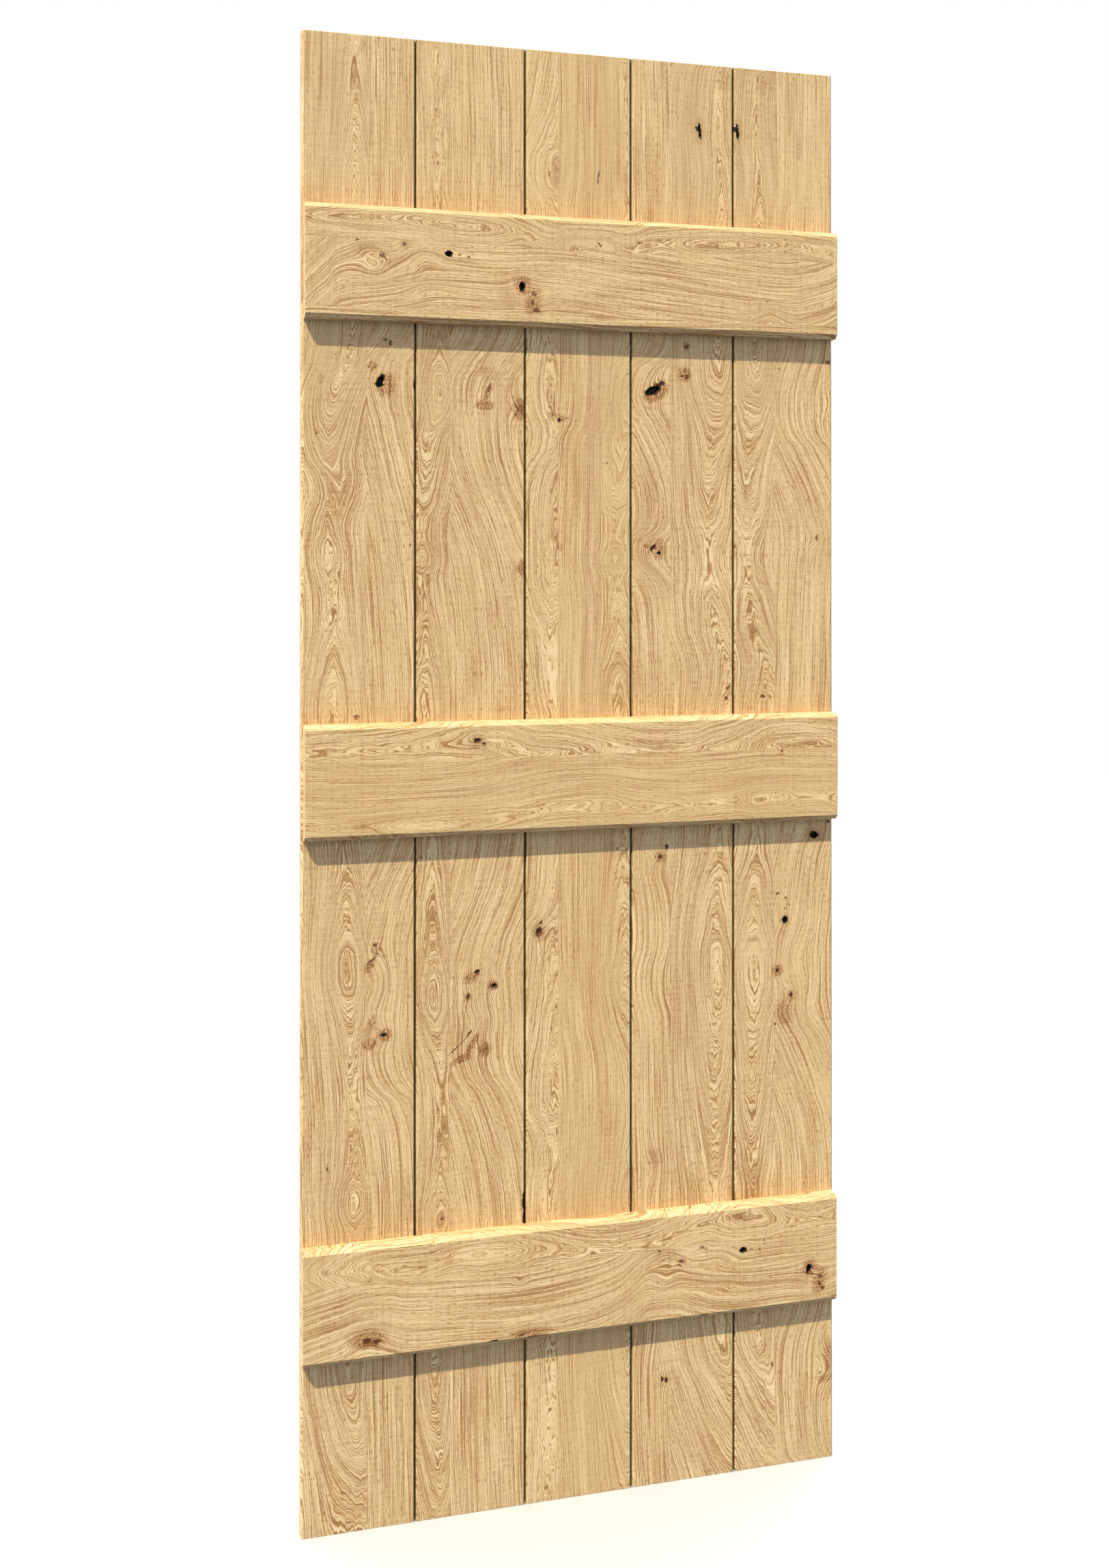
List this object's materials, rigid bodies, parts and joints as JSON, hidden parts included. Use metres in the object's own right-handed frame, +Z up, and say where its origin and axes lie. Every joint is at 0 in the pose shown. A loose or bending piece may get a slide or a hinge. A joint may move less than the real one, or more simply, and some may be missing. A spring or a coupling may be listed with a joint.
{
  "type": "ledged barn door leaf",
  "caption": "Ledged plank door leaf of light knotty oak: upright tongue-and-groove boards with V-joints, held by bevelled horizontal ledges.",
  "frame": {"origin": "middle of the leaf's foot: the middle of its width and of its whole thickness, ledges included, at the bottom edge", "axes": "+Z up along the boards, +X across the leaf to the right as seen from the ledge side, -Y out of the ledge side and +Y out of the hidden face"},
  "size_m": [0.762, 0.038, 1.981],
  "materials": {
    "oak_boards": "matte",
    "oak_ledges": "matte",
    "nail_iron": "matte"
  },
  "bodies": {
    "root": {"board_1": "oak_boards", "board_2": "oak_boards", "board_3": "oak_boards", "board_4": "oak_boards", "board_5": "oak_boards", "top_ledge": "oak_ledges", "middle_ledge": "oak_ledges", "bottom_ledge": "oak_ledges", "top_ledge_nails": "nail_iron", "middle_ledge_nails": "nail_iron", "bottom_ledge_nails": "nail_iron"}
  },
  "joints": []
}
